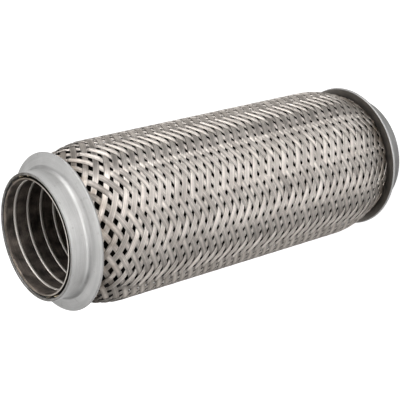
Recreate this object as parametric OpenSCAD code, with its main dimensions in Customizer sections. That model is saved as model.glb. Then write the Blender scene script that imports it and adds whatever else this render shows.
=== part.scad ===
// Exhaust flex pipe: a gas-tight bellows over a wound liner, inside a braided wire sleeve,
// with a pressed collar closed over each end. It stands on one mouth, with +Z along its axis.
// Heights inside the modules are given as depths from the nearer mouth.

/* [Overall] */
// Length from mouth to mouth
overall_length = 200; // [140:1:230]
// Inside diameter at the mouths, which is the nominal pipe size
bore_d = 50.8; // [44:0.1:57]

/* [Liner] */
// Sheet of the liner where a single turn shows
liner_wall = 0.6; // [0.4:0.1:1]
// Distance between the folds of the wound strip
liner_pitch = 6.9; // [5:0.1:9]
// Depth of the first fold from the mouth, which leaves a plain cuff
liner_cuff = 6.6; // [5:0.1:8]
// Width of the rounded fold that shows inside
fold_w = 1.2; // [0.8:0.1:1.6]
// Height of the rounded fold above the bore
fold_h = 0.5; // [0.2:0.05:0.6]
// Width of the locked seam outside each fold
seam_w = 2.8; // [2:0.1:3.6]
// Height of the locked seam outside the liner sheet
seam_h = 0.8; // [0.4:0.1:1]
// Step of the liner's end behind the mouth
liner_recess = 0.4; // [0.1:0.1:0.8]

/* [Bellows] */
// Sheet of the bellows
bellows_wall = 0.4; // [0.2:0.05:0.6]
// Distance between convolutions
bellows_pitch = 6.6; // [5:0.1:9]
// Height of a convolution, from the inside of its roots to the outside of its crests
bellows_height = 5.6; // [5:0.1:6.2]
// Depth from the mouth to the first convolution
bellows_cuff = 16.5; // [16:0.5:26]
// Running gap between the bellows roots and the liner's seams
bellows_gap = 0.4; // [0.2:0.1:1]
// Step of the bellows cuff behind the mouth
bellows_recess = 0.2; // [0.1:0.1:0.8]

/* [Braid] */
// Room between the crests of the bellows and the braid, which bulges off them
braid_bulge = 3.2; // [2.6:0.1:4]
// Two layers of flat wire strands where they cross
braid_wall = 1; // [0.6:0.05:1.2]
// Sheet left under the hollow between four crossings
braid_web = 0.35; // [0.2:0.05:0.5]
// Strands laid each way round
strands = 24; // [16:4:24]
// Angle of the strands to the pipe's axis, on the straight part
braid_angle = 65; // [55:0.5:66]
// Length of the rounded shoulder, from the collar rim to the full diameter
shoulder_length = 22.1; // [18:0.1:28]
// Height of the sleeve above the neck where it passes the collar rim
shoulder_lift = 2.25; // [1.6:0.05:2.6]
// Share of each open cell that is a clear gap
gap_share = 0.4; // [0.2:0.02:0.5]
// Rows of open cells between the shoulders, which stand for the fine gaps all along the braid
grid_rows = 6; // [2:1:6]
// Step of the cut strand ends behind the mouth
braid_recess = 1.2; // [0.4:0.1:2]
// Length of braid that stays straight past the straight part of the neck
tuck_run = 2.2; // [2:0.1:3]
// Room between the back of the collar rim and the start of the shoulder
tuck_room = 0.5; // [0.3:0.1:1.5]

/* [Collars] */
// Sheet of the collars
collar_wall = 1.2; // [0.8:0.1:1.6]
// Width of the flange outside the neck
flange_w = 7.05; // [6:0.05:9]
// Depth of the collar rim from the mouth
collar_depth = 10.9; // [10:0.1:14]
// Lean of the flange towards the middle of the pipe
flange_lean = 16; // [8:1:20]
// Inside corner between the neck and the flange
collar_fillet = 2.5; // [1.5:0.1:3]
// Bevel of the sheet edges
edge_bevel = 0.25; // [0.1:0.05:0.4]

/* [Clearances] */
// Gap left between the layers pressed together in each neck
layer_gap = 0.05; // [0.02:0.01:0.1]

/* [Hidden] */
$fn = 96;

// The layers of each neck, from the bore outwards
bore_r = bore_d / 2;
liner_r = bore_r + liner_wall;
cuff_in_r = liner_r + layer_gap;
cuff_r = cuff_in_r + bellows_wall;
braid_in_r = cuff_r + layer_gap;
braid_neck_r = braid_in_r + braid_wall;
neck_in_r = braid_neck_r + layer_gap;
neck_r = neck_in_r + collar_wall;
flange_r = neck_r + flange_w;

// Points of an arc about [x, y], both ends included
function arc(centre, radius, from, to, steps) =
    [for (i = [0:steps]) let (a = from + (to - from) * i / steps) centre + radius * [cos(a), sin(a)]];
function reversed(list) = [for (i = [len(list) - 1:-1:0]) list[i]];

// A ring turned from a section of [radius, depth] points, at the foot of the pipe
module turned(section) {
    rotate_extrude() polygon(section);
}

// What stands at the foot, turned over to the top
module at_inlet() {
    translate([0, 0, overall_length]) mirror([0, 0, 1]) children();
}

// Collars: a straight neck, a rounded corner and a flange that leans back over the braid
fillet_steps = 8;
lean_rise = flange_w * tan(flange_lean);
corner_reach = collar_fillet * tan((90 - flange_lean) / 2);
neck_length = collar_depth - lean_rise - corner_reach;
corner_centre = [neck_r + collar_fillet, neck_length];
flange_back = [-sin(flange_lean), cos(flange_lean)];

module collar() {
    rim = [flange_r, collar_depth] - edge_bevel * flange_back;
    along = [cos(flange_lean), sin(flange_lean)];
    front_corner = arc(corner_centre, collar_fillet, 180, 90 + flange_lean, fillet_steps);
    back_corner = arc(corner_centre, collar_fillet + collar_wall, 90 + flange_lean, 180, fillet_steps);
    turned(concat(
        [[neck_in_r + edge_bevel, 0], [neck_r - edge_bevel, 0], [neck_r, edge_bevel]],
        front_corner,
        [rim - edge_bevel * along, rim + edge_bevel * flange_back,
            rim + (collar_wall - edge_bevel) * flange_back,
            rim + collar_wall * flange_back - edge_bevel * along],
        back_corner,
        [[neck_in_r, edge_bevel]]));
}

module inlet_collar() {
    color("lightgray") at_inlet() collar();
}

module outlet_collar() {
    color("lightgray") collar();
}

// Liner: one wound strip, drawn as a tube with a rounded fold inside and a locked seam outside at each turn
fold_steps = 6;
fold_count = round((overall_length - 2 * liner_cuff) / liner_pitch);
fold_step = (overall_length - 2 * liner_cuff) / fold_count;
seam_from = bellows_cuff + seam_w / 2;
folds = [for (i = [0:fold_count]) liner_cuff + i * fold_step];
seams = [for (z = folds) if (z > seam_from && z < overall_length - seam_from) z];

// A rounded fold, bulging towards the axis, from its lower edge to its upper one
function fold_section(z) =
    [for (i = [0:fold_steps]) let (a = 180 * i / fold_steps)
        [bore_r - fold_h * sin(a), z - fold_w / 2 * cos(a)]];
function seam_section(z) =
    [[liner_r, z - seam_w / 2], [liner_r + seam_h, z - seam_w / 2 + edge_bevel],
        [liner_r + seam_h, z + seam_w / 2 - edge_bevel], [liner_r, z + seam_w / 2]];

module interlock_liner() {
    color("dimgray") turned(concat(
        [[liner_r, liner_recess], [bore_r, liner_recess]],
        [for (z = folds) each fold_section(z)],
        [[bore_r, overall_length - liner_recess], [liner_r, overall_length - liner_recess]],
        [for (z = reversed(seams)) each reversed(seam_section(z))]));
}

// Bellows: straight cuffs with U-shaped convolutions between them
bend_steps = 6;
convolutions = round((overall_length - 2 * bellows_cuff) / bellows_pitch);
convolution_step = (overall_length - 2 * bellows_cuff) / convolutions;
bend_r = convolution_step / 4;
root_r = liner_r + seam_h + bellows_gap + bellows_wall / 2;
crest_r = root_r + bellows_height - bellows_wall;
cuff_mid_r = cuff_in_r + bellows_wall / 2;
flare = bend_r;

// One side of the sheet, where offset is half the wall, outwards or inwards
function convolution(i, offset) =
    let (z = bellows_cuff + i * convolution_step)
    concat(
        arc([crest_r - bend_r, z + 2 * bend_r], bend_r + offset, -90, 90, bend_steps),
        i == convolutions - 1 ? []
            : arc([root_r + bend_r, z + 4 * bend_r], bend_r - offset, 270, 90, bend_steps));
function bellows_side(offset) = concat(
    [[cuff_mid_r + offset, bellows_recess],
        [cuff_mid_r + offset, bellows_cuff - 2 * bend_r - flare]],
    arc([root_r + bend_r, bellows_cuff], bend_r - offset, 180, 90, bend_steps / 2),
    [for (i = [0:convolutions - 1]) each convolution(i, offset)],
    arc([root_r + bend_r, overall_length - bellows_cuff], bend_r - offset, 270, 180, bend_steps / 2),
    [[cuff_mid_r + offset, overall_length - bellows_cuff + 2 * bend_r + flare],
        [cuff_mid_r + offset, overall_length - bellows_recess]]);

module bellows() {
    color("gray") turned(concat(bellows_side(bellows_wall / 2), reversed(bellows_side(-bellows_wall / 2))));
}

// Braid: a net of strands with equal sides, wrapped on the sleeve's own profile. Each strand
// passes over two and under two. Crossings stand proud and cells are hollow. All cells of the
// first row outside each collar are open, and so is every second cell of a few rows between.
columns = 2 * strands;
braid_r = crest_r + bellows_wall / 2 + braid_bulge + braid_wall;
crossing_length = PI * braid_r / strands / sin(braid_angle);
lift_r = neck_r + shoulder_lift;
shoulder_end = collar_depth + shoulder_length;
shoulder_bend = 1.7;
tuck_from = neck_length + tuck_run;
tuck_to = collar_depth + collar_wall + tuck_room;
inner_row_skip = 3;
grid_column_step = 4;
grid_first_column = 1;
slope_probe = 0.05;

function shoulder_r(depth) = depth >= shoulder_end ? braid_r
    : braid_r - (braid_r - lift_r) * pow((shoulder_end - depth) / shoulder_length, shoulder_bend);
function shoulder_slope(depth) =
    (braid_r - lift_r) * shoulder_bend / shoulder_length
        * pow((shoulder_end - depth) / shoulder_length, shoulder_bend - 1);
// The tuck under the collar is a cubic that meets the neck and the shoulder smoothly
function tuck_r(depth) =
    let (span = tuck_to - tuck_from, x = (depth - tuck_from) / span)
    braid_neck_r + (shoulder_r(tuck_to) - braid_neck_r) * (3 * x * x - 2 * x * x * x)
        + shoulder_slope(tuck_to) * span * (x * x * x - x * x);
function sleeve_r(depth) =
    depth <= tuck_from ? braid_neck_r : depth >= tuck_to ? shoulder_r(depth) : tuck_r(depth);
function sleeve_slope(depth) =
    (sleeve_r(depth + slope_probe) - sleeve_r(depth - slope_probe)) / (2 * slope_probe);

// Rows of crossings, stepped from the middle to a mouth so that the sides of the cells stay equal
function row_step(depth) =
    sqrt((pow(crossing_length, 2) - pow(PI * sleeve_r(depth) / strands, 2)) / (1 + pow(sleeve_slope(depth), 2)));
half_rows = concat(
    [for (d = overall_length / 2; d > braid_recess + row_step(d) / 2; d = d - row_step(d)) d],
    [braid_recess]);
half_count = len(half_rows) - 1;
row_depths = concat(reversed(half_rows), [for (i = [1:half_count]) half_rows[i]]);
last_row = 2 * half_count;
function row_z(k) = k <= half_count ? row_depths[k] : overall_length - row_depths[k];

// Rows of cells that are all open, rows of the grid, and the rows that the smooth inner wall keeps
function rows_before(depth) = len([for (d = half_rows) if (d < depth) d]);
function from_mouth(k) = min(k, last_row - k);
open_from_mouth = rows_before(tuck_to + crossing_length / 2);
function open_row(k) = from_mouth(k) == open_from_mouth;
straight_from = rows_before(shoulder_end);
straight_to = last_row - straight_from;
grid_step = (straight_to - straight_from) / grid_rows;
grid = [for (i = [0:grid_rows - 1]) 2 * round((straight_from + (i + 0.5) * grid_step) / 2)];
function inner_row(k) =
    let (n = from_mouth(k))
    n == 0 || (n >= 2 && n <= open_from_mouth + 1) || n == straight_from
        || (n > open_from_mouth && n < straight_from && (n - open_from_mouth - 1) % inner_row_skip == 0);
inner_rows = [for (k = [0:last_row]) if (inner_row(k)) k];
inner_place = [for (k = [0:last_row]) len([for (i = inner_rows) if (i < k) i])];

function wrap(c) = (c + columns) % columns;
function is_cell(k, c) = (k + c) % 2 != 0;
function on_grid_row(k) = len([for (g = grid) if (g == k) g]) > 0;
function on_grid_column(c) = wrap(c) % grid_column_step == grid_first_column;
function is_open(k, c) = is_cell(k, c) && (open_row(k) || (on_grid_column(c) && on_grid_row(k)));
function at(radius, c, z) = [radius * cos(360 * c / columns), radius * sin(360 * c / columns), z];
function wall_r(k) = sleeve_r(row_depths[k]) - braid_wall;
function outer_point(k, c) =
    at(is_cell(k, c) ? wall_r(k) + braid_web : sleeve_r(row_depths[k]), c, row_z(k));
// The flat sides of the inner wall, and not its corners, clear what lies inside
function inner_point(k, c) = at(wall_r(k) / cos(180 / columns), c, row_z(k));

// The open cells, and the four corners of a cell: next row, next column, last row, last column
open_cells = [for (k = [0:last_row]) for (c = [0:columns - 1]) if (is_open(k, c)) [k, c]];
open_index = [for (k = [0:last_row]) len([for (cell = open_cells) if (cell[0] < k) cell])];
corners = [[1, 0], [0, 1], [-1, 0], [0, -1]];
function toward(a, b) = a + gap_share * (b - a);

outer_count = (last_row + 1) * columns;
inner_count = len(inner_rows) * columns;
braid_points = concat(
    [for (k = [0:last_row]) for (c = [0:columns - 1]) outer_point(k, c)],
    [for (k = inner_rows) for (c = [0:columns - 1]) inner_point(k, c)],
    [for (cell = open_cells) for (q = corners)
        toward(outer_point(cell[0], cell[1]), outer_point(cell[0] + q[0], cell[1] + q[1]))],
    [for (cell = open_cells) for (q = corners)
        toward(inner_point(cell[0], cell[1]), inner_point(cell[0] + q[0], cell[1] + q[1]))]);

function outer_id(k, c) = k * columns + wrap(c);
function inner_id(k, c) = outer_count + inner_place[k] * columns + wrap(c);
function gap_id(k, c, q, inside) =
    outer_count + inner_count
        + (inside ? 4 * len(open_cells) : 0)
        + 4 * (open_index[k] + floor(c / (open_row(k) ? 2 : grid_column_step))) + (q % 4);

// Two triangles between neighbouring rows and columns, less those of an open cell. A strand that
// is hidden under two others leaves a groove between them instead of a ridge.
function strand_on_top(c, rising) = rising ? wrap(c) % 4 < 2 : wrap(c) % 4 >= 2;
function patch_tris(k, c) =
    let (rising = !is_cell(k, c),
        a = outer_id(k, c), b = outer_id(k, c + 1), d = outer_id(k + 1, c + 1), e = outer_id(k + 1, c),
        low_open = is_open(k, rising ? c + 1 : c),
        high_open = is_open(k + 1, rising ? c : c + 1),
        hidden = !strand_on_top(c, rising) && !strand_on_top(c + 1, rising),
        groove = hidden && !low_open && !high_open)
    rising != groove ? concat(low_open ? [] : [[a, b, d]], high_open ? [] : [[a, d, e]])
    : concat(low_open ? [] : [[a, b, e]], high_open ? [] : [[b, d, e]]);

// The inner wall next to an open row follows the same pattern, seen from inside
function inner_tris(k, c) =
    let (rising = !is_cell(k, c),
        a = inner_id(k, c), b = inner_id(k, c + 1), d = inner_id(k + 1, c + 1), e = inner_id(k + 1, c))
    rising ? concat(open_row(k) ? [] : [[a, d, b]], open_row(k + 1) ? [] : [[a, e, d]])
    : concat(open_row(k) ? [] : [[a, e, b]], open_row(k + 1) ? [] : [[b, e, d]]);

// The straight inner wall beside a column of the grid steps round one half of each gap
function notched_span(c, side) =
    let (n = grid_rows - 1, q = side < 0 ? 3 : 1,
        low = inner_id(straight_from, c + side), foot = inner_id(straight_from, c),
        high = inner_id(straight_to, c + side), head = inner_id(straight_to, c),
        above = [for (k = grid) gap_id(k, c, 0, true)],
        beside = [for (k = grid) gap_id(k, c, q, true)],
        below = [for (k = grid) gap_id(k, c, 2, true)],
        tris = concat(
            [[low, foot, below[0]], [low, below[0], beside[0]]],
            [for (i = [1:n]) each [[beside[i - 1], above[i - 1], below[i]],
                [beside[i - 1], below[i], beside[i]], [low, beside[i - 1], beside[i]]]],
            [[beside[n], above[n], head], [beside[n], head, high], [low, beside[n], high]]))
    side < 0 ? [for (t = tris) reversed(t)] : tris;
function inner_span(j, c) =
    let (k = inner_rows[j], m = inner_rows[j + 1],
        a = inner_id(k, c), b = inner_id(k, c + 1), d = inner_id(m, c + 1), e = inner_id(m, c))
    open_row(k) || open_row(m) ? inner_tris(k, c)
    : k == straight_from && on_grid_column(c) ? notched_span(c, 1)
    : k == straight_from && on_grid_column(c + 1) ? notched_span(c + 1, -1)
    : [[a, d, b], [a, e, d]];

// The rim and the walls of one open cell, and the inner rim next to an open row
function gap_tris(k, c) = [for (q = [0:3])
    let (p = corners[q], n = corners[(q + 1) % 4],
        po = outer_id(k + p[0], c + p[1]), no = outer_id(k + n[0], c + n[1]),
        pi = inner_id(k + p[0], c + p[1]), ni = inner_id(k + n[0], c + n[1]),
        pg = gap_id(k, c, q, false), ng = gap_id(k, c, q + 1, false),
        ph = gap_id(k, c, q, true), nh = gap_id(k, c, q + 1, true))
    each concat([[po, ng, no], [po, pg, ng], [pg, nh, ng], [pg, ph, nh]],
        open_row(k) ? [[pi, ni, nh], [pi, nh, ph]] : [])];

function end_tris(k, top) = [for (c = [0:columns - 1])
    let (a = outer_id(k, c), b = outer_id(k, c + 1), d = inner_id(k, c + 1), e = inner_id(k, c))
    each top ? [[a, b, d], [a, d, e]] : [[a, d, b], [a, e, d]]];

braid_tris = concat(
    [for (k = [0:last_row - 1]) for (c = [0:columns - 1]) each patch_tris(k, c)],
    [for (j = [0:len(inner_rows) - 2]) for (c = [0:columns - 1]) each inner_span(j, c)],
    [for (cell = open_cells) each gap_tris(cell[0], cell[1])],
    end_tris(0, false),
    end_tris(last_row, true));

module outer_braid() {
    color("silver") polyhedron(braid_points, [for (t = braid_tris) [t[2], t[1], t[0]]], convexity = 10);
}

inlet_collar();
outlet_collar();
outer_braid();
bellows();
interlock_liner();
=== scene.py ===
"""The looks of an exhaust flex pipe: a braided sleeve over bellows and a wound liner, with two collars."""

import math

import bpy
from mathutils import Matrix, Vector


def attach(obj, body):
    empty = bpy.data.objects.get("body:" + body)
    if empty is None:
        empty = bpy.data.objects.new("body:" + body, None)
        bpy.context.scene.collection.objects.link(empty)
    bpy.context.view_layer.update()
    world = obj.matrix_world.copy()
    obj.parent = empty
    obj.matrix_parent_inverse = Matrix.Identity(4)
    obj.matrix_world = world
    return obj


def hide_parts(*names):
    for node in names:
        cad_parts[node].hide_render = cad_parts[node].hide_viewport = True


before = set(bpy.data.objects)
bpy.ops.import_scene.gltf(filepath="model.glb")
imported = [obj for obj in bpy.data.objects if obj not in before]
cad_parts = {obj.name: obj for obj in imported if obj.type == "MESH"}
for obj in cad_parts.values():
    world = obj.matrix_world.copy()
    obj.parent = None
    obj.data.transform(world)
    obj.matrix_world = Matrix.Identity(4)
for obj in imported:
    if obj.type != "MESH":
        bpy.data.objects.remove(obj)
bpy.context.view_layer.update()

# Sizes in metres, the same as those of the solids
MM = 0.001
LENGTH = 200 * MM
BORE_R = 25.4 * MM
LINER_R = 26.0 * MM
FOLD_PITCH = 6.9 * MM
FOLD_H = 0.5 * MM
SEAM_W = 2.8 * MM
SEAM_H = 0.8 * MM
BRAID_NECK_R = 27.5 * MM
BRAID_R = 37.0 * MM
BRAID_LIFT_R = 31.0 * MM
BRAID_RECESS = 1.2 * MM
BRAID_ANGLE = math.radians(65)
STRANDS = 24
TUCK_RUN = 2.2 * MM
TUCK_TO = 12.6 * MM
SHOULDER_LENGTH = 22.1 * MM
SHOULDER_END = 33.0 * MM
SHOULDER_BEND = 1.7
NECK_IN_R = 27.55 * MM
NECK_R = 28.75 * MM
FLANGE_R = 35.8 * MM
COLLAR_WALL = 1.2 * MM
COLLAR_DEPTH = 10.9 * MM
COLLAR_FILLET = 2.5 * MM
FLANGE_LEAN = math.radians(16)
EDGE_BEVEL = 0.25 * MM

NECK_LENGTH = (
    COLLAR_DEPTH
    - (FLANGE_R - NECK_R) * math.tan(FLANGE_LEAN)
    - COLLAR_FILLET * math.tan((math.pi / 2 - FLANGE_LEAN) / 2)
)
TUCK_FROM = NECK_LENGTH + TUCK_RUN
CROSSING_LENGTH = math.pi * BRAID_R / STRANDS / math.sin(BRAID_ANGLE)

# The collars have rounded edges here, in place of the bevels
EDGE_ROUND = 0.3 * MM
EDGE_STEPS = 3
FILLET_STEPS = 14
COLLAR_SEGMENTS = 256

# The liner's folds and seams are wound, and its rolled lip gets a painted highlight on the side toward the
# camera
FOLD_W = 1.4 * MM
FOLD_RUN_OUT = 1.8 * MM
FOLD_DEPTH = 4.66 * MM
FOLD_SIDE = math.radians(78.75)
FOLD_POINTS = 72
FOLD_SIDES = 10
SEAM_POINTS = 48
PLAIN_TURNS = 3
LIP_R = 26.4 * MM
LIP_ROUND = 0.7 * MM
LIP_EDGE = 0.07 * MM
LIP_RECESS = 0.05 * MM
LIP_HIGHLIGHT_DEPTH = 0.16 * MM
LIP_STEPS = 6
LIP_EDGE_STEPS = 4
PAINTED_LIT_SIDE = math.radians(-93)
LINER_SEGMENTS = 192

# Each strand is a flat bundle of wires
WIRES = 7
MIDDLE_WIRE = (WIRES - 1) / 2
WIRE_PITCH = 0.375 * MM
WIRE_W = 0.365 * MM
WIRE_T = 0.27 * MM
WIRE_STRAY = 0.09 * MM
LAYER_DROP = 0.29 * MM
STRAND_ARCH = 0.06 * MM
STRAND_STRAY = 0.006
STRAND_COPIES = STRANDS // 2
PATTERN_STEP = 4

# Edges sharper than this stay sharp on the turned pieces
SHARP_EDGE = math.radians(50)


# Node helpers
def add_node(tree, kind, inputs=None, **settings):
    """A new node with its settings, and with the values or links of its inputs."""
    node = tree.nodes.new(kind)
    for name, value in settings.items():
        setattr(node, name, value)
    for key, value in (inputs or {}).items():
        if isinstance(value, bpy.types.NodeSocket):
            tree.links.new(value, node.inputs[key])
        else:
            node.inputs[key].default_value = value
    return node


def math_node(tree, operation, first, second=0.0, third=0.0):
    inputs = {0: first, 1: second, 2: third}
    return add_node(tree, "ShaderNodeMath", inputs, operation=operation).outputs[0]


def vector_node(tree, operation, first, second=None):
    inputs = {0: first}
    if second is not None:
        inputs["Scale" if operation == "SCALE" else 1] = second
    node = add_node(tree, "ShaderNodeVectorMath", inputs, operation=operation)
    return node.outputs["Value" if operation in ("DOT_PRODUCT", "LENGTH") else "Vector"]


def mix_colour(tree, share, first, second, blend="MIX"):
    inputs = {0: share, 6: first, 7: second}
    return add_node(tree, "ShaderNodeMix", inputs, data_type="RGBA", blend_type=blend).outputs[2]


def spread(tree, value, low, high, to_low=0.0, to_high=1.0):
    """The value brought from one range to another, smoothly and without going past its ends."""
    inputs = {"Value": value, 1: low, 2: high, 3: to_low, 4: to_high}
    return add_node(tree, "ShaderNodeMapRange", inputs, interpolation_type="SMOOTHSTEP").outputs[0]


def noise(tree, place, scale, detail=4.0, roughness=0.55):
    inputs = {"Vector": place, "Scale": scale, "Detail": detail, "Roughness": roughness}
    return add_node(tree, "ShaderNodeTexNoise", inputs).outputs[0]


def attribute(tree, name):
    """A value that a mesh carries for its finish."""
    return add_node(tree, "ShaderNodeAttribute", attribute_name=name).outputs["Fac"]


def store(tree, geometry, name, value, domain):
    """The geometry with a value stored on it for its finish."""
    inputs = {"Geometry": geometry, "Name": name, "Value": value}
    settings = {"data_type": "FLOAT", "domain": domain}
    return add_node(tree, "GeometryNodeStoreNamedAttribute", inputs, **settings).outputs[0]


def painted_mesh(tree, geometry, material):
    """The geometry with its copies made real, and its material."""
    real = add_node(tree, "GeometryNodeRealizeInstances", {"Geometry": geometry}).outputs[0]
    return add_node(tree, "GeometryNodeSetMaterial", {"Geometry": real, "Material": material}).outputs[0]


def new_group(name, kind, inputs, outputs):
    """A node group with named sockets, given as (name, socket kind, default value)."""
    tree = bpy.data.node_groups.new(name, kind)
    for title, socket_kind, value in inputs:
        socket = tree.interface.new_socket(name=title, in_out="INPUT", socket_type=socket_kind)
        if value is not None:
            socket.default_value = value
    for title, socket_kind in outputs:
        tree.interface.new_socket(name=title, in_out="OUTPUT", socket_type=socket_kind)
    return tree, tree.nodes.new("NodeGroupInput").outputs, tree.nodes.new("NodeGroupOutput").inputs


# Shared finishes
def make_steel_finish():
    """Clouds, fine grain and dark specks of rolled or drawn steel."""
    tree, given, result = new_group(
        "steel_finish",
        "ShaderNodeTree",
        [
            ("Light Tone", "NodeSocketColor", (0.6, 0.6, 0.6, 1)),
            ("Dark Tone", "NodeSocketColor", (0.4, 0.4, 0.4, 1)),
            ("Cloud Scale", "NodeSocketFloat", 120.0),
            ("Grain Scale", "NodeSocketFloat", 1800.0),
            ("Speck Amount", "NodeSocketFloat", 0.3),
            ("Low Roughness", "NodeSocketFloat", 0.25),
            ("High Roughness", "NodeSocketFloat", 0.45),
        ],
        [("Color", "NodeSocketColor"), ("Roughness", "NodeSocketFloat"), ("Height", "NodeSocketFloat")],
    )
    place = add_node(tree, "ShaderNodeTexCoord").outputs["Object"]
    clouds = spread(tree, noise(tree, place, given["Cloud Scale"]), 0.3, 0.7)
    grain = noise(tree, place, given["Grain Scale"], 2.0)
    speck_scale = math_node(tree, "MULTIPLY", given["Cloud Scale"], 5.0)
    specks = spread(tree, noise(tree, place, speck_scale, 3.0), 0.6, 0.75)
    speck_share = math_node(tree, "MULTIPLY", specks, given["Speck Amount"])
    tone = mix_colour(tree, clouds, given["Dark Tone"], given["Light Tone"])
    grain_share = spread(tree, grain, 0.3, 0.7, 0.0, 0.25)
    tone = mix_colour(tree, grain_share, tone, given["Dark Tone"])
    dark = mix_colour(tree, 1.0, given["Dark Tone"], (0.45, 0.42, 0.4, 1), "MULTIPLY")
    tone = mix_colour(tree, speck_share, tone, dark)
    rough_share = math_node(tree, "MULTIPLY_ADD", clouds, 0.5, math_node(tree, "MULTIPLY", grain, 0.5))
    rough_span = math_node(tree, "SUBTRACT", given["High Roughness"], given["Low Roughness"])
    rough = math_node(tree, "MULTIPLY_ADD", rough_share, rough_span, given["Low Roughness"])
    tree.links.new(tone, result["Color"])
    tree.links.new(rough, result["Roughness"])
    tree.links.new(math_node(tree, "MULTIPLY_ADD", specks, -0.6, grain), result["Height"])
    return tree


def make_mouth_tint():
    """A tint that fades away from both mouths in patches, such as a heat colour, or painted shade near the
    mouths.
    """
    tree, given, result = new_group(
        "mouth_tint",
        "ShaderNodeTree",
        [
            ("Color", "NodeSocketColor", (0.6, 0.6, 0.6, 1)),
            ("Tint", "NodeSocketColor", (0.45, 0.3, 0.14, 1)),
            ("Reach", "NodeSocketFloat", 3 * MM),
            ("Patch Scale", "NodeSocketFloat", 260.0),
            ("Bare Tone", "NodeSocketFloat", 0.0),
            ("Amount", "NodeSocketFloat", 0.7),
        ],
        [("Color", "NodeSocketColor")],
    )
    place = add_node(tree, "ShaderNodeTexCoord").outputs["Object"]
    height = add_node(tree, "ShaderNodeSeparateXYZ", {0: place}).outputs["Z"]
    from_top = math_node(tree, "SUBTRACT", LENGTH, height)
    depth = math_node(tree, "MINIMUM", height, from_top)
    near = spread(tree, depth, 0.0, given["Reach"], 1.0, 0.0)
    patches = spread(tree, noise(tree, place, given["Patch Scale"], 3.0), 0.35, 0.65, given["Bare Tone"])
    share = math_node(tree, "MULTIPLY", math_node(tree, "MULTIPLY", near, patches), given["Amount"])
    tree.links.new(mix_colour(tree, share, given["Color"], given["Tint"]), result["Color"])
    return tree


def make_turned_lines():
    """Fine lines round the pipe's axis, from turning or rolling, broken up a little on the way round."""
    tree, given, result = new_group(
        "turned_lines",
        "ShaderNodeTree",
        [("Scale", "NodeSocketFloat", 2600.0)],
        [("Lines", "NodeSocketFloat")],
    )
    place = add_node(tree, "ShaderNodeTexCoord").outputs["Object"]
    parts = add_node(tree, "ShaderNodeSeparateXYZ", {0: place}).outputs
    flat = add_node(tree, "ShaderNodeCombineXYZ", {"X": parts["X"], "Y": parts["Y"]}).outputs[0]
    reach = vector_node(tree, "LENGTH", flat)
    drift = math_node(tree, "MULTIPLY", math_node(tree, "ADD", parts["X"], parts["Y"]), 0.03)
    ring = add_node(tree, "ShaderNodeCombineXYZ", {"X": reach, "Y": parts["Z"], "Z": drift}).outputs[0]
    tree.links.new(noise(tree, ring, given["Scale"], 2.0), result["Lines"])
    return tree


STEEL_FINISH = make_steel_finish()
MOUTH_TINT = make_mouth_tint()
TURNED_LINES = make_turned_lines()


def new_material(name):
    """A material with only a shader and an output, and its tree."""
    material = bpy.data.materials.new(name)
    material.use_nodes = True
    tree = material.node_tree
    tree.nodes.clear()
    shader = tree.nodes.new("ShaderNodeBsdfPrincipled")
    output = tree.nodes.new("ShaderNodeOutputMaterial")
    tree.links.new(shader.outputs[0], output.inputs["Surface"])
    return material, tree, shader


def use_group(tree, group, values):
    return add_node(tree, "ShaderNodeGroup", values, node_tree=group).outputs


def bump_normal(tree, height, strength, distance):
    inputs = {"Strength": strength, "Distance": distance, "Height": height}
    return add_node(tree, "ShaderNodeBump", inputs).outputs[0]


def link_finish(tree, shader, colour, roughness, normal, metallic):
    tree.links.new(colour, shader.inputs["Base Color"])
    tree.links.new(roughness, shader.inputs["Roughness"])
    tree.links.new(normal, shader.inputs["Normal"])
    shader.inputs["Metallic"].default_value = metallic


def wire_material():
    """Bright drawn wire, with a tone that differs by strand and by wire, stains next to the collars, and
    painted shade on the wires' undersides and on each strand's outer wires.
    """
    material, tree, shader = new_material("braid_wire")
    steel = use_group(
        tree,
        STEEL_FINISH,
        {
            "Light Tone": (0.81, 0.757, 0.708, 1),
            "Dark Tone": (0.62, 0.572, 0.53, 1),
            "Cloud Scale": 150.0,
            "Grain Scale": 2600.0,
            "Speck Amount": 0.15,
            "Low Roughness": 0.27,
            "High Roughness": 0.38,
        },
    )
    wire_share = math_node(tree, "MULTIPLY", attribute(tree, "wire_tone"), 0.7)
    tone = math_node(tree, "MULTIPLY_ADD", attribute(tree, "strand_tone"), 0.3, wire_share)
    shade = spread(tree, tone, 0.0, 1.0, 0.62, 1.18)
    # Painted shade: darker wire undersides, and darker outermost wires in each strand, where shade falls
    # between strands
    crown_shade = spread(tree, attribute(tree, "crown"), 0.2, 1.0, 0.2, 1.0)
    edge_shade = spread(tree, attribute(tree, "from_middle"), 0.6, 1.0, 1.0, 0.8)
    shade = math_node(tree, "MULTIPLY", math_node(tree, "MULTIPLY", shade, crown_shade), edge_shade)
    shaded = vector_node(tree, "SCALE", steel["Color"], shade)
    place = add_node(tree, "ShaderNodeTexCoord").outputs["Object"]
    height = add_node(tree, "ShaderNodeSeparateXYZ", {0: place}).outputs["Z"]
    patches = spread(tree, noise(tree, place, 180.0, 3.0), 0.35, 0.6)
    near_outlet = spread(tree, height, 13 * MM, 27 * MM, 0.75, 0.0)
    near_inlet = spread(tree, height, LENGTH - 24 * MM, LENGTH - 13 * MM, 0.0, 0.6)
    stain = math_node(tree, "MULTIPLY", patches, math_node(tree, "MAXIMUM", near_outlet, near_inlet))
    stained = mix_colour(tree, stain, shaded, (0.27, 0.21, 0.155, 1))
    brassy = {"Color": stained, "Tint": (0.62, 0.5, 0.3, 1), "Reach": 4 * MM, "Amount": 0.9}
    colour = use_group(tree, MOUTH_TINT, brassy)["Color"]
    relief = bump_normal(tree, steel["Height"], 0.06, 0.03 * MM)
    link_finish(tree, shader, colour, steel["Roughness"], relief, 1.0)
    shader.inputs["Specular Tint"].default_value = (0.45, 0.43, 0.41, 1)
    return material


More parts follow.
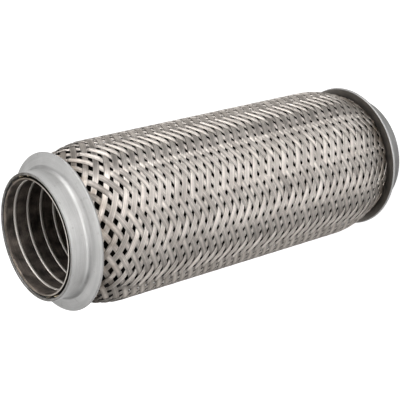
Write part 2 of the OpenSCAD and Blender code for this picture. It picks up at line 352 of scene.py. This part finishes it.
def collar_material():
    """Satin sheet steel with fine turned lines, small dark specks, painted shade on the back of the flange,
    and dark cut edges, darker on the side away from the camera as painted shade.
    """
    material, tree, shader = new_material("collar_steel")
    steel = use_group(
        tree,
        STEEL_FINISH,
        {
            "Light Tone": (0.525, 0.521, 0.514, 1),
            "Dark Tone": (0.45, 0.446, 0.439, 1),
            "Cloud Scale": 90.0,
            "Grain Scale": 2200.0,
            "Speck Amount": 0.3,
            "Low Roughness": 0.48,
            "High Roughness": 0.62,
        },
    )
    lines = use_group(tree, TURNED_LINES, {"Scale": 2600.0})["Lines"]
    shaded = vector_node(tree, "SCALE", steel["Color"], spread(tree, lines, 0.3, 0.7, 0.93, 1.04))
    # Painted shade: the back of the flange, under the braid's overhang, is darkened
    shaded = mix_colour(tree, attribute(tree, "behind"), shaded, (0.5, 0.47, 0.44, 1), "MULTIPLY")
    place = add_node(tree, "ShaderNodeTexCoord").outputs["Object"]
    # Painted shade: the cut edges are darkened, more on the side away from the camera
    lit_way = (math.cos(PAINTED_LIT_SIDE), math.sin(PAINTED_LIT_SIDE), 0.0)
    toward = vector_node(tree, "DOT_PRODUCT", place, lit_way)
    dark_edge_and_shade = {
        "Color": shaded,
        "Tint": (0.09, 0.08, 0.07, 1),
        "Reach": 0.4 * MM,
        "Patch Scale": 300.0,
        "Bare Tone": 0.75,
        "Amount": spread(tree, toward, -10 * MM, 20 * MM, 1.0, 0.6),
    }
    colour = use_group(tree, MOUTH_TINT, dark_edge_and_shade)["Color"]
    height = math_node(tree, "MULTIPLY_ADD", lines, 0.6, steel["Height"])
    relief = bump_normal(tree, height, 0.25, 0.05 * MM)
    link_finish(tree, shader, colour, steel["Roughness"], relief, 0.9)
    return material


def liner_material():
    """Satin strip, dark brown between the turns, with a painted highlight on the folds and on the lip's
    side toward the camera.
    """
    material, tree, shader = new_material("liner_steel")
    steel = use_group(
        tree,
        STEEL_FINISH,
        {
            "Light Tone": (0.23, 0.192, 0.166, 1),
            "Dark Tone": (0.055, 0.047, 0.042, 1),
            "Cloud Scale": 170.0,
            "Grain Scale": 1900.0,
            "Speck Amount": 0.4,
            "Low Roughness": 0.42,
            "High Roughness": 0.6,
        },
    )
    lines = use_group(tree, TURNED_LINES, {"Scale": 3000.0})["Lines"]
    strip = vector_node(tree, "SCALE", steel["Color"], spread(tree, lines, 0.3, 0.7, 0.75, 1.2))
    # Painted highlight: the folds, and the lip on the side toward the camera, get a light colour
    tone = mix_colour(tree, attribute(tree, "fold"), strip, (0.64, 0.605, 0.565, 1))
    straw = {
        "Color": tone,
        "Tint": (0.62, 0.5, 0.33, 1),
        "Reach": LIP_ROUND,
        "Patch Scale": 120.0,
        "Amount": 0.12,
    }
    colour = use_group(tree, MOUTH_TINT, straw)["Color"]
    height = math_node(tree, "MULTIPLY_ADD", lines, 0.6, steel["Height"])
    relief = bump_normal(tree, height, 0.2, 0.05 * MM)
    link_finish(tree, shader, colour, steel["Roughness"], relief, 0.75)
    return material


def bellows_material():
    """Annealed sheet, coloured nearly black as painted shade where it sits in the dark under the braid, and
    black near the mouths as painted shade.
    """
    material, tree, shader = new_material("bellows_steel")
    steel = use_group(
        tree,
        STEEL_FINISH,
        {
            "Light Tone": (0.036, 0.031, 0.028, 1),
            "Dark Tone": (0.02, 0.017, 0.015, 1),
            "Cloud Scale": 140.0,
            "Grain Scale": 2000.0,
            "Speck Amount": 0.4,
            "Low Roughness": 0.35,
            "High Roughness": 0.55,
        },
    )
    # Painted shade: black near the mouths, so the gap between collar and liner reads dark
    painted_shade_near_mouths = {"Color": steel["Color"], "Tint": (0.05, 0.04, 0.03, 1), "Reach": 6 * MM, "Amount": 1.0}
    colour = use_group(tree, MOUTH_TINT, painted_shade_near_mouths)["Color"]
    relief = bump_normal(tree, steel["Height"], 0.2, 0.05 * MM)
    link_finish(tree, shader, colour, steel["Roughness"], relief, 1.0)
    return material


WIRE_STEEL = wire_material()
COLLAR_STEEL = collar_material()
LINER_STEEL = liner_material()
BELLOWS_STEEL = bellows_material()


# The sleeve's profile, by the depth from the nearer mouth
def shoulder_radius(depth):
    if depth >= SHOULDER_END:
        return BRAID_R
    return BRAID_R - (BRAID_R - BRAID_LIFT_R) * ((SHOULDER_END - depth) / SHOULDER_LENGTH) ** SHOULDER_BEND


def shoulder_slope(depth):
    rise = (BRAID_R - BRAID_LIFT_R) * SHOULDER_BEND / SHOULDER_LENGTH
    return rise * ((SHOULDER_END - depth) / SHOULDER_LENGTH) ** (SHOULDER_BEND - 1)


def sleeve_radius(depth):
    if depth <= TUCK_FROM:
        return BRAID_NECK_R
    if depth >= TUCK_TO:
        return shoulder_radius(depth)
    span = TUCK_TO - TUCK_FROM
    x = (depth - TUCK_FROM) / span
    rise = (shoulder_radius(TUCK_TO) - BRAID_NECK_R) * (3 * x**2 - 2 * x**3)
    return BRAID_NECK_R + rise + shoulder_slope(TUCK_TO) * span * (x**3 - x**2)


def row_step(depth):
    """Height from one row of crossings to the next, so that the sides of the cells stay equal."""
    probe = 0.05 * MM
    slope = (sleeve_radius(depth + probe) - sleeve_radius(depth - probe)) / (2 * probe)
    across = math.pi * sleeve_radius(depth) / STRANDS
    return math.sqrt((CROSSING_LENGTH**2 - across**2) / (1 + slope**2))


def crossing_rows():
    """Heights of the rows of crossings, from the outlet mouth to the inlet mouth."""
    depths = []
    depth = LENGTH / 2
    while depth > BRAID_RECESS + row_step(depth) / 2:
        depths.append(depth)
        depth -= row_step(depth)
    depths.append(BRAID_RECESS)
    return depths[::-1] + [LENGTH - depth for depth in depths[1:]]


# The braid
ROWS = crossing_rows()
LAST_ROW = len(ROWS) - 1

# Shares of the way between two crossings, each with the share of the drop made there
FLAT_RUN = ((0.0, 0.0), (0.5, 0.5))
DIVE_RUN = ((0.0, 0.0), (0.36, 0.0), (0.44, 0.15), (0.56, 0.85), (0.64, 1.0))


def row_height(row):
    """Height of a row, or of a place between two rows."""
    low = min(int(row), LAST_ROW - 1)
    return ROWS[low] + (ROWS[low + 1] - ROWS[low]) * (row - low)


def strand_spacing(row):
    """Distance between neighbouring strands of one hand, square to them."""
    height = row_height(min(max(row, 0.0), LAST_ROW))
    across = math.pi * sleeve_radius(min(height, LENGTH - height)) / STRANDS
    return 2 * across * math.sqrt(1 - (across / CROSSING_LENGTH) ** 2)


def strand_is_under(column, hand):
    rising_on_top = column % PATTERN_STEP < PATTERN_STEP / 2
    return int(rising_on_top != (hand > 0))


def strand_run(hand, first_column):
    """Places along one strand, counted in crossings, each with its layer: 0 on top and 1 under."""
    run = []
    for crossing in range(-1, LAST_ROW + 1):
        column = first_column + hand * crossing
        under = strand_is_under(column, hand)
        next_under = strand_is_under(column + hand, hand)
        for share, turn in FLAT_RUN if under == next_under else DIVE_RUN:
            run.append((crossing + share, under + (next_under - under) * turn))
    return run


def wire_path(hand, first_column, offset):
    """Points of one wire, which is set off from its strand's middle along the strands that it crosses."""
    points = []
    arch = STRAND_ARCH * (offset / MIDDLE_WIRE) ** 2
    for place, layer in strand_run(hand, first_column):
        shift = offset * WIRE_PITCH / strand_spacing(place)
        row = place + shift
        if 0 <= row <= LAST_ROW:
            height = row_height(row)
            radius = sleeve_radius(min(height, LENGTH - height)) - WIRE_T / 2 - layer * LAYER_DROP - arch
            angle = math.pi * (first_column + hand * (place - shift)) / STRANDS
            points.append((radius * math.cos(angle), radius * math.sin(angle), height))
    return points


def path_object(name, paths):
    """A curve object with one spline for each list of points."""
    curve = bpy.data.curves.new(name, "CURVE")
    curve.dimensions = "3D"
    for points in paths:
        spline = curve.splines.new("POLY")
        spline.points.add(len(points) - 1)
        for place, point in zip(spline.points, points):
            place.co = (*point, 1.0)
    piece = bpy.data.objects.new(name, curve)
    bpy.context.scene.collection.objects.link(piece)
    return piece


def outward_normal(tree):
    """The direction away from the pipe's axis, turned square to the path."""
    place = add_node(tree, "GeometryNodeInputPosition").outputs[0]
    parts = add_node(tree, "ShaderNodeSeparateXYZ", {0: place}).outputs
    flat = add_node(tree, "ShaderNodeCombineXYZ", {"X": parts["X"], "Y": parts["Y"]}).outputs[0]
    out = vector_node(tree, "NORMALIZE", flat)
    tangent = add_node(tree, "GeometryNodeInputTangent").outputs[0]
    along = vector_node(tree, "SCALE", tangent, vector_node(tree, "DOT_PRODUCT", out, tangent))
    return vector_node(tree, "NORMALIZE", vector_node(tree, "SUBTRACT", out, along))


def random_value(tree, seed, step, low, high, index=None):
    """A value for each element, from a fixed seed."""
    inputs = {2: low, 3: high, "Seed": math_node(tree, "ADD", seed, step)}
    if index is not None:
        inputs["ID"] = index
    return add_node(tree, "FunctionNodeRandomValue", inputs, data_type="FLOAT").outputs[1]


def make_strand_tree():
    """Sweeps the wires of one strand along their paths and repeats the strand round the sleeve."""
    tree, given, result = new_group(
        "braid_strands",
        "GeometryNodeTree",
        [
            ("Paths", "NodeSocketGeometry", None),
            ("Wire Width", "NodeSocketFloat", WIRE_W),
            ("Wire Thickness", "NodeSocketFloat", WIRE_T),
            ("Wire Stray", "NodeSocketFloat", WIRE_STRAY),
            ("Copies", "NodeSocketInt", STRAND_COPIES),
            ("Strand Stray", "NodeSocketFloat", STRAND_STRAY),
            ("Seed", "NodeSocketInt", 1),
            ("Material", "NodeSocketMaterial", None),
        ],
        [("Mesh", "NodeSocketGeometry")],
    )
    out = outward_normal(tree)
    facing = {"Curve": given["Paths"], "Normal": out}
    turned = add_node(tree, "GeometryNodeSetCurveNormal", facing, mode="FREE").outputs[0]
    wire_tone = random_value(tree, given["Seed"], 7, 0.0, 1.0)
    toned = store(tree, turned, "wire_tone", wire_tone, "CURVE")
    # Painted shade mark: how far each wire lies from its strand's middle, for darker outer wires
    index = add_node(tree, "GeometryNodeInputIndex").outputs[0]
    off_middle = math_node(tree, "ABSOLUTE", math_node(tree, "SUBTRACT", index, MIDDLE_WIRE))
    edged = store(tree, toned, "from_middle", math_node(tree, "DIVIDE", off_middle, MIDDLE_WIRE), "CURVE")
    named = add_node(tree, "GeometryNodeInputNamedAttribute", {"Name": "wire_tone"}, data_type="FLOAT")
    off_mean = math_node(tree, "SUBTRACT", named.outputs[0], 0.5)
    shift = vector_node(tree, "SCALE", out, math_node(tree, "MULTIPLY", off_mean, given["Wire Stray"]))
    laid = add_node(tree, "GeometryNodeSetPosition", {"Geometry": edged, "Offset": shift}).outputs[0]
    size = {"Width": given["Wire Thickness"], "Height": given["Wire Width"]}
    section = add_node(tree, "GeometryNodeCurvePrimitiveQuadrilateral", size, mode="RECTANGLE").outputs[0]
    # Painted shade mark: the outer corners of each wire's section, for darker undersides
    corner = add_node(tree, "GeometryNodeInputPosition").outputs[0]
    across = add_node(tree, "ShaderNodeSeparateXYZ", {0: corner}).outputs["X"]
    crowned = store(tree, section, "crown", math_node(tree, "GREATER_THAN", across, 0.0), "POINT")
    sweep = {"Curve": laid, "Profile Curve": crowned, "Fill Caps": True}
    strand = add_node(tree, "GeometryNodeCurveToMesh", sweep).outputs[0]
    smooth = add_node(tree, "GeometryNodeSetShadeSmooth", {"Geometry": strand, "Shade Smooth": True})
    one = add_node(tree, "GeometryNodeGeometryToInstance", {0: smooth.outputs[0]}).outputs[0]
    repeat = {"Geometry": one, "Amount": given["Copies"]}
    copies = add_node(tree, "GeometryNodeDuplicateElements", repeat, domain="INSTANCE").outputs
    number = copies["Duplicate Index"]
    strand_low = math_node(tree, "MULTIPLY", given["Strand Stray"], -1.0)
    strand_stray = random_value(tree, given["Seed"], 0, strand_low, given["Strand Stray"], number)
    step = math_node(tree, "DIVIDE", 2 * math.pi, given["Copies"])
    turn = math_node(tree, "MULTIPLY_ADD", number, step, strand_stray)
    rotation = add_node(tree, "ShaderNodeCombineXYZ", {"Z": turn}).outputs[0]
    swing = {"Instances": copies["Geometry"], "Rotation": rotation, "Local Space": False}
    spun = add_node(tree, "GeometryNodeRotateInstances", swing).outputs[0]
    strand_tone = random_value(tree, given["Seed"], 3, 0.0, 1.0, number)
    marked = store(tree, spun, "strand_tone", strand_tone, "INSTANCE")
    tree.links.new(painted_mesh(tree, marked, given["Material"]), result["Mesh"])
    return tree


def grow(piece, tree, values):
    """Runs a node tree on a piece and returns the plain mesh object that it makes."""
    modifier = piece.modifiers.new("grow", "NODES")
    modifier.node_group = tree
    sockets = {item.name: item.identifier for item in tree.interface.items_tree if item.in_out == "INPUT"}
    for name, value in values.items():
        modifier[sockets[name]] = value
    bpy.context.view_layer.update()
    shown = piece.evaluated_get(bpy.context.evaluated_depsgraph_get())
    mesh = bpy.data.meshes.new_from_object(shown)
    name = piece.name
    source = piece.data
    bpy.data.objects.remove(piece)
    if isinstance(source, bpy.types.Curve):
        bpy.data.curves.remove(source)
    else:
        bpy.data.meshes.remove(source)
    mesh.name = name
    made = bpy.data.objects.new(name, mesh)
    bpy.context.scene.collection.objects.link(made)
    return made


STRAND_TREE = make_strand_tree()


def make_braid():
    """Four sets of strands: two phases of the pattern for each hand."""
    sets = [
        ("braid_rising_a", 1, 0, 11),
        ("braid_rising_b", 1, 2, 12),
        ("braid_falling_a", -1, 0, 13),
        ("braid_falling_b", -1, 2, 14),
    ]
    offsets = [i - MIDDLE_WIRE for i in range(WIRES)]
    made = []
    for name, hand, first_column, seed in sets:
        paths = path_object(name, [wire_path(hand, first_column, offset) for offset in offsets])
        values = {
            "Wire Width": WIRE_W,
            "Wire Thickness": WIRE_T,
            "Wire Stray": WIRE_STRAY,
            "Copies": STRAND_COPIES,
            "Strand Stray": STRAND_STRAY,
            "Seed": seed,
            "Material": WIRE_STEEL,
        }
        made.append(grow(paths, STRAND_TREE, values))
    return made


# The collars and the liner
def arc(centre, radius, start, end, steps):
    """Points of an arc, both ends included, with angles in radians."""
    points = []
    for i in range(steps + 1):
        angle = start + (end - start) * i / steps
        points.append((centre[0] + radius * math.cos(angle), centre[1] + radius * math.sin(angle)))
    return points


def turned_mesh(name, section, segments):
    """A closed ring turned from a section of (radius, height) points that runs against the clock."""
    points = []
    faces = []
    count = len(section)
    for i in range(segments):
        angle = 2 * math.pi * i / segments
        for radius, height in section:
            points.append((radius * math.cos(angle), radius * math.sin(angle), height))
    for i in range(segments):
        here = i * count
        there = (i + 1) % segments * count
        for j in range(count):
            k = (j + 1) % count
            faces.append((here + j, there + j, there + k, here + k))
    mesh = bpy.data.meshes.new(name)
    mesh.from_pydata(points, [], faces)
    mesh.polygons.foreach_set("use_smooth", [True] * len(faces))
    mesh.set_sharp_from_angle(angle=SHARP_EDGE)
    piece = bpy.data.objects.new(name, mesh)
    bpy.context.scene.collection.objects.link(piece)
    return piece


def collar_section():
    """A collar's section by depth from its mouth, and a mark for each point that lies behind the flange."""
    lean = FLANGE_LEAN
    along = Vector((math.cos(lean), math.sin(lean)))
    behind = Vector((-math.sin(lean), math.cos(lean)))
    corner = (NECK_R + COLLAR_FILLET, NECK_LENGTH)
    edge = EDGE_ROUND
    rim = Vector((FLANGE_R, COLLAR_DEPTH)) - EDGE_BEVEL * behind
    front_rim = rim - edge * along + edge * behind
    back_rim = rim - edge * along + (COLLAR_WALL - edge) * behind
    quarter = math.pi / 2
    front = arc((NECK_IN_R + edge, edge), edge, 2 * quarter, 3 * quarter, EDGE_STEPS)
    front += arc((NECK_R - edge, edge), edge, 3 * quarter, 4 * quarter, EDGE_STEPS)
    front += arc(corner, COLLAR_FILLET, 2 * quarter, quarter + lean, FILLET_STEPS)
    front += arc(front_rim, edge, lean - quarter, lean, EDGE_STEPS)
    front += arc(back_rim, edge, lean, lean + quarter, EDGE_STEPS)
    back = [front.pop()]
    back += arc(corner, COLLAR_FILLET + COLLAR_WALL, quarter + lean, 2 * quarter, FILLET_STEPS)
    return front + back, [0.0] * len(front) + [1.0] * len(back)


def make_collar(name, at_inlet):
    """A pressed collar, with its back marked for painted shade."""
    section, behind = collar_section()
    if at_inlet:
        section = [(radius, LENGTH - depth) for radius, depth in section][::-1]
        behind = behind[::-1]
    piece = turned_mesh(name, section, COLLAR_SEGMENTS)
    mark = piece.data.attributes.new("behind", "FLOAT", "POINT")
    mark.data.foreach_set("value", behind * COLLAR_SEGMENTS)
    piece.data.materials.append(COLLAR_STEEL)
    return piece


def wound_ridge(tree, turns, pitch, first, start, radius, points_a_turn):
    """The helix that a ridge follows, with its normals outwards and its ends thinned away."""
    spiral = add_node(
        tree,
        "GeometryNodeCurveSpiral",
        {
            "Resolution": points_a_turn,
            "Rotations": turns,
            "Start Radius": radius,
            "End Radius": radius,
            "Height": math_node(tree, "MULTIPLY", turns, pitch),
        },
    ).outputs[0]
    lift = add_node(tree, "ShaderNodeCombineXYZ", {"Z": first}).outputs[0]
    start_angle = math_node(tree, "MULTIPLY", start, 2 * math.pi)
    swing = add_node(tree, "ShaderNodeCombineXYZ", {"Z": start_angle}).outputs[0]
    move = {"Geometry": spiral, "Translation": lift, "Rotation": swing}
    placed = add_node(tree, "GeometryNodeTransform", move).outputs[0]
    facing = {"Curve": placed, "Normal": outward_normal(tree)}
    turned = add_node(tree, "GeometryNodeSetCurveNormal", facing, mode="FREE").outputs[0]
    share = add_node(tree, "GeometryNodeSplineParameter").outputs["Factor"]
    from_end = math_node(tree, "MINIMUM", share, math_node(tree, "SUBTRACT", 1.0, share))
    fade = spread(tree, math_node(tree, "MULTIPLY", from_end, turns), 0.0, 0.35, 0.05, 1.0)
    return add_node(tree, "GeometryNodeSetCurveRadius", {"Curve": turned, "Radius": fade}).outputs[0]


def ridge_mesh(tree, path, section, mark):
    """A ridge swept along its helix and thinned at its ends, with its mark for the painted highlight: 1 on
    the folds and 0 on the seam.
    """
    radius = add_node(tree, "GeometryNodeInputRadius").outputs[0]
    sweep = {"Curve": path, "Profile Curve": section, "Scale": radius, "Fill Caps": True}
    mesh = add_node(tree, "GeometryNodeCurveToMesh", sweep).outputs[0]
    smooth = add_node(tree, "GeometryNodeSetShadeSmooth", {"Geometry": mesh, "Shade Smooth": True})
    return store(tree, smooth.outputs[0], "fold", mark, "POINT")


def make_liner_tree():
    """Winds a rounded fold round the inside of the liner's tube and a flat seam round its outside."""
    tree, given, result = new_group(
        "wound_liner",
        "GeometryNodeTree",
        [
            ("Tube", "NodeSocketGeometry", None),
            ("Pitch", "NodeSocketFloat", FOLD_PITCH),
            ("Start Turn", "NodeSocketFloat", 0.0),
            ("Turns", "NodeSocketFloat", 29.0),
            ("First Fold", "NodeSocketFloat", FOLD_RUN_OUT),
            ("Fold Radius", "NodeSocketFloat", BORE_R),
            ("Fold Width", "NodeSocketFloat", FOLD_W),
            ("Fold Height", "NodeSocketFloat", FOLD_H),
            ("Seam Turns", "NodeSocketFloat", 23.0),
            ("First Seam", "NodeSocketFloat", FOLD_RUN_OUT + PLAIN_TURNS * FOLD_PITCH),
            ("Seam Radius", "NodeSocketFloat", LINER_R),
            ("Seam Width", "NodeSocketFloat", SEAM_W),
            ("Seam Height", "NodeSocketFloat", SEAM_H),
            ("Material", "NodeSocketMaterial", None),
        ],
        [("Mesh", "NodeSocketGeometry")],
    )
    pitch = given["Pitch"]
    start = given["Start Turn"]
    fold = wound_ridge(
        tree, given["Turns"], pitch, given["First Fold"], start, given["Fold Radius"], FOLD_POINTS
    )
    disc = {"Resolution": FOLD_SIDES, "Radius": 0.5}
    disc_edge = add_node(tree, "GeometryNodeCurvePrimitiveCircle", disc, mode="RADIUS").outputs[0]
    oval = {"X": math_node(tree, "MULTIPLY", given["Fold Height"], 2.0), "Y": given["Fold Width"], "Z": 1.0}
    oval_size = add_node(tree, "ShaderNodeCombineXYZ", oval).outputs[0]
    fold_section = add_node(tree, "GeometryNodeTransform", {"Geometry": disc_edge, "Scale": oval_size})
    fold_mesh = ridge_mesh(tree, fold, fold_section.outputs[0], 1.0)
    seam = wound_ridge(
        tree, given["Seam Turns"], pitch, given["First Seam"], start, given["Seam Radius"], SEAM_POINTS
    )
    size = {"Width": given["Seam Height"], "Height": given["Seam Width"]}
    seam_section = add_node(tree, "GeometryNodeCurvePrimitiveQuadrilateral", size, mode="RECTANGLE")
    seam_mesh = ridge_mesh(tree, seam, seam_section.outputs[0], 0.0)
    joined = tree.nodes.new("GeometryNodeJoinGeometry")
    for part in (seam_mesh, fold_mesh, given["Tube"]):
        tree.links.new(part, joined.inputs[0])
    tree.links.new(painted_mesh(tree, joined.outputs[0], given["Material"]), result["Mesh"])
    return tree


def make_liner():
    """A tube with a rolled lip at each mouth, and the folds of the wound strip."""
    quarter = math.pi / 2
    roll = (BORE_R + LIP_ROUND, LIP_RECESS + LIP_ROUND)
    edge = (LIP_R - LIP_EDGE, LIP_RECESS + LIP_EDGE)
    lip = [(BORE_R, 2 * LIP_ROUND)]
    lip += arc(roll, LIP_ROUND, 2 * quarter, 3 * quarter, LIP_STEPS)
    lip += arc(edge, LIP_EDGE, 3 * quarter, 5 * quarter, LIP_EDGE_STEPS)
    lip += [(LINER_R, LIP_RECESS + 2 * LIP_EDGE), (LINER_R, 2 * LIP_ROUND)]
    section = lip + [(radius, LENGTH - depth) for radius, depth in lip][::-1]
    tube = turned_mesh("interlock_strip", section, LINER_SEGMENTS)
    # Painted highlight: the lip near each mouth takes the folds' light colour, most on the side toward the
    # camera
    lip_highlight = tube.data.attributes.new("fold", "FLOAT", "POINT")
    for mark, point in zip(lip_highlight.data, tube.data.vertices):
        on_lip = min(point.co.z, LENGTH - point.co.z) < LIP_HIGHLIGHT_DEPTH
        lit_share = max(0.0, math.cos(math.atan2(point.co.y, point.co.x) - PAINTED_LIT_SIDE))
        mark.value = on_lip * lit_share
    turns = (LENGTH - 2 * FOLD_RUN_OUT) / FOLD_PITCH
    start = FOLD_SIDE / (2 * math.pi) - (LENGTH - FOLD_DEPTH - FOLD_RUN_OUT) / FOLD_PITCH
    values = {
        "Pitch": FOLD_PITCH,
        "Start Turn": start,
        "Turns": turns,
        "First Fold": FOLD_RUN_OUT,
        "Fold Radius": BORE_R,
        "Fold Width": FOLD_W,
        "Fold Height": FOLD_H,
        "Seam Turns": turns - 2 * PLAIN_TURNS,
        "First Seam": FOLD_RUN_OUT + PLAIN_TURNS * FOLD_PITCH,
        "Seam Radius": LINER_R + SEAM_H / 2,
        "Seam Width": SEAM_W,
        "Seam Height": SEAM_H,
        "Material": LINER_STEEL,
    }
    return grow(tube, make_liner_tree(), values)


# Pieces on the frame
for piece in make_braid():
    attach(piece, "root")
    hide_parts("outer_braid")

inlet = make_collar("inlet_cap", True)
outlet = make_collar("outlet_cap", False)
for piece, node in ((inlet, "inlet_collar"), (outlet, "outlet_collar")):
    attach(piece, "root")
    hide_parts(node)

liner = make_liner()
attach(liner, "root")
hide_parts("interlock_liner")

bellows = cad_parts["bellows"]
bellows.data.materials.clear()
bellows.data.materials.append(BELLOWS_STEEL)


# Camera, fitted to the rims and the long edges of the pipe in a square picture
LENS = 115.46
PIPE_TURN = 0.653
PIPE_TILT = -0.209
NEAR_RIM = Vector((-71.66, 16.27, 557.24)) * MM
CAMERA_SIDE = math.radians(-78.25)


def picture_to_frame():
    """The turn from the camera's right, down and forward to the pipe's frame."""
    level = math.cos(PIPE_TILT)
    away = Vector((level * math.cos(PIPE_TURN), math.sin(PIPE_TILT), level * math.sin(PIPE_TURN)))
    toward = Vector((0, 0, -1)) + away.z * away
    toward.normalize()
    across = away.cross(toward)
    seen = Matrix((away, toward, across))
    built = Matrix(
        (
            (0, math.cos(CAMERA_SIDE), math.sin(CAMERA_SIDE)),
            (0, math.sin(CAMERA_SIDE), -math.cos(CAMERA_SIDE)),
            (-1, 0, 0),
        )
    )
    return built @ seen


def make_camera():
    turn = picture_to_frame()
    place = Vector((0, 0, LENGTH)) - turn @ NEAR_RIM
    right = turn @ Vector((1, 0, 0))
    up = turn @ Vector((0, -1, 0))
    back = turn @ Vector((0, 0, -1))
    data = bpy.data.cameras.new("camera")
    data.lens = LENS
    data.sensor_width = 36
    data.clip_start = 0.01
    data.clip_end = 50
    camera = bpy.data.objects.new("camera", data)
    camera.matrix_world = Matrix.Translation(place) @ Matrix((right, up, back)).transposed().to_4x4()
    bpy.context.scene.collection.objects.link(camera)
    bpy.context.scene.camera = camera


make_camera()


# Floor, soft lights and surroundings
def floor_material():
    """A floor that is seen white and keeps the shadow. Metal mirrors it darker on the camera's side."""
    material = bpy.data.materials.new("pale_floor")
    material.use_nodes = True
    tree = material.node_tree
    tree.nodes.clear()
    rays = tree.nodes.new("ShaderNodeLightPath").outputs
    place = add_node(tree, "ShaderNodeTexCoord").outputs["Object"]
    front = (math.cos(CAMERA_SIDE), math.sin(CAMERA_SIDE), 0.0)
    toward = vector_node(tree, "DOT_PRODUCT", vector_node(tree, "NORMALIZE", place), front)
    side = spread(tree, toward, -0.9, 0.8, 0.8, 0.08)
    mirrored = math_node(tree, "MULTIPLY", rays["Is Glossy Ray"], side)
    looked_at = math_node(tree, "MAXIMUM", rays["Is Camera Ray"], rays["Is Transmission Ray"])
    seen = math_node(tree, "MAXIMUM", looked_at, mirrored)
    mottle = spread(tree, noise(tree, place, 6.0, 3.0), 0.3, 0.7)
    pale = mix_colour(tree, mottle, (0.27, 0.27, 0.27, 1), (0.29, 0.29, 0.29, 1))
    matt = add_node(tree, "ShaderNodeBsdfDiffuse", {"Color": pale})
    glow = add_node(tree, "ShaderNodeEmission", {"Color": (1, 1, 1, 1), "Strength": 0.94})
    none = add_node(tree, "ShaderNodeEmission", {"Color": (0, 0, 0, 1), "Strength": 0.0})
    lift = add_node(tree, "ShaderNodeMixShader", {0: seen, 1: none.outputs[0], 2: glow.outputs[0]})
    both = add_node(tree, "ShaderNodeAddShader", {0: matt.outputs[0], 1: lift.outputs[0]})
    output = tree.nodes.new("ShaderNodeOutputMaterial")
    tree.links.new(both.outputs[0], output.inputs["Surface"])
    return material


def make_floor():
    half = 6.0
    mesh = bpy.data.meshes.new("floor")
    corners = [(-half, -half, 0), (half, -half, 0), (half, half, 0), (-half, half, 0)]
    mesh.from_pydata(corners, [], [(0, 1, 2, 3)])
    mesh.materials.append(floor_material())
    floor = bpy.data.objects.new("floor", mesh)
    bpy.context.scene.collection.objects.link(floor)


# Soft lights: name, degrees round from the camera's side, degrees up, distance, width, height, power
SOFT_LIGHTS = [
    ("key", 54, 14, 1.0, 0.8, 0.48, 4.2),
    ("side", 74, 36, 1.0, 0.7, 0.5, 4.4),
    ("front", -2, 11, 1.0, 0.95, 0.42, 6.7),
    ("top", 0, 80, 1.0, 0.7, 0.7, 3.6),
    ("rear", 180, 55, 1.0, 1.0, 0.9, 5.0),
    ("low", -60, 11, 1.1, 1.1, 0.38, 3.9),
]


def soft_light(name, side, rise, distance, width, height, power):
    """A soft light panel that faces the middle of the pipe."""
    data = bpy.data.lights.new(name, "AREA")
    data.shape = "RECTANGLE"
    data.size = width
    data.size_y = height
    data.energy = power
    azimuth = CAMERA_SIDE + math.radians(side)
    elevation = math.radians(rise)
    level = math.cos(elevation)
    way = Vector((level * math.cos(azimuth), level * math.sin(azimuth), math.sin(elevation)))
    light = bpy.data.objects.new(name, data)
    light.location = Vector((0, 0, LENGTH / 2)) + way * distance
    light.rotation_mode = "QUATERNION"
    light.rotation_quaternion = way.to_track_quat("Z", "Y")
    bpy.context.scene.collection.objects.link(light)


def make_world():
    """Surroundings that are seen white and light the pipe dimly, from overhead less than from the sides."""
    world = bpy.data.worlds.new("studio")
    bpy.context.scene.world = world
    world.use_nodes = True
    tree = world.node_tree
    tree.nodes.clear()
    way = add_node(tree, "ShaderNodeTexCoord").outputs["Generated"]
    rise = add_node(tree, "ShaderNodeSeparateXYZ", {0: way}).outputs["Z"]
    lit = spread(tree, rise, 0.02, 0.3, 0.2, 0.06)
    rays = tree.nodes.new("ShaderNodeLightPath").outputs
    looked_at = math_node(tree, "MAXIMUM", rays["Is Camera Ray"], rays["Is Transmission Ray"])
    strength = math_node(tree, "MAXIMUM", looked_at, lit)
    background = add_node(tree, "ShaderNodeBackground", {"Color": (1, 1, 1, 1), "Strength": strength})
    output = tree.nodes.new("ShaderNodeOutputWorld")
    tree.links.new(background.outputs[0], output.inputs["Surface"])


make_floor()
for light in SOFT_LIGHTS:
    soft_light(*light)
make_world()

bpy.context.scene.view_settings.view_transform = "Standard"
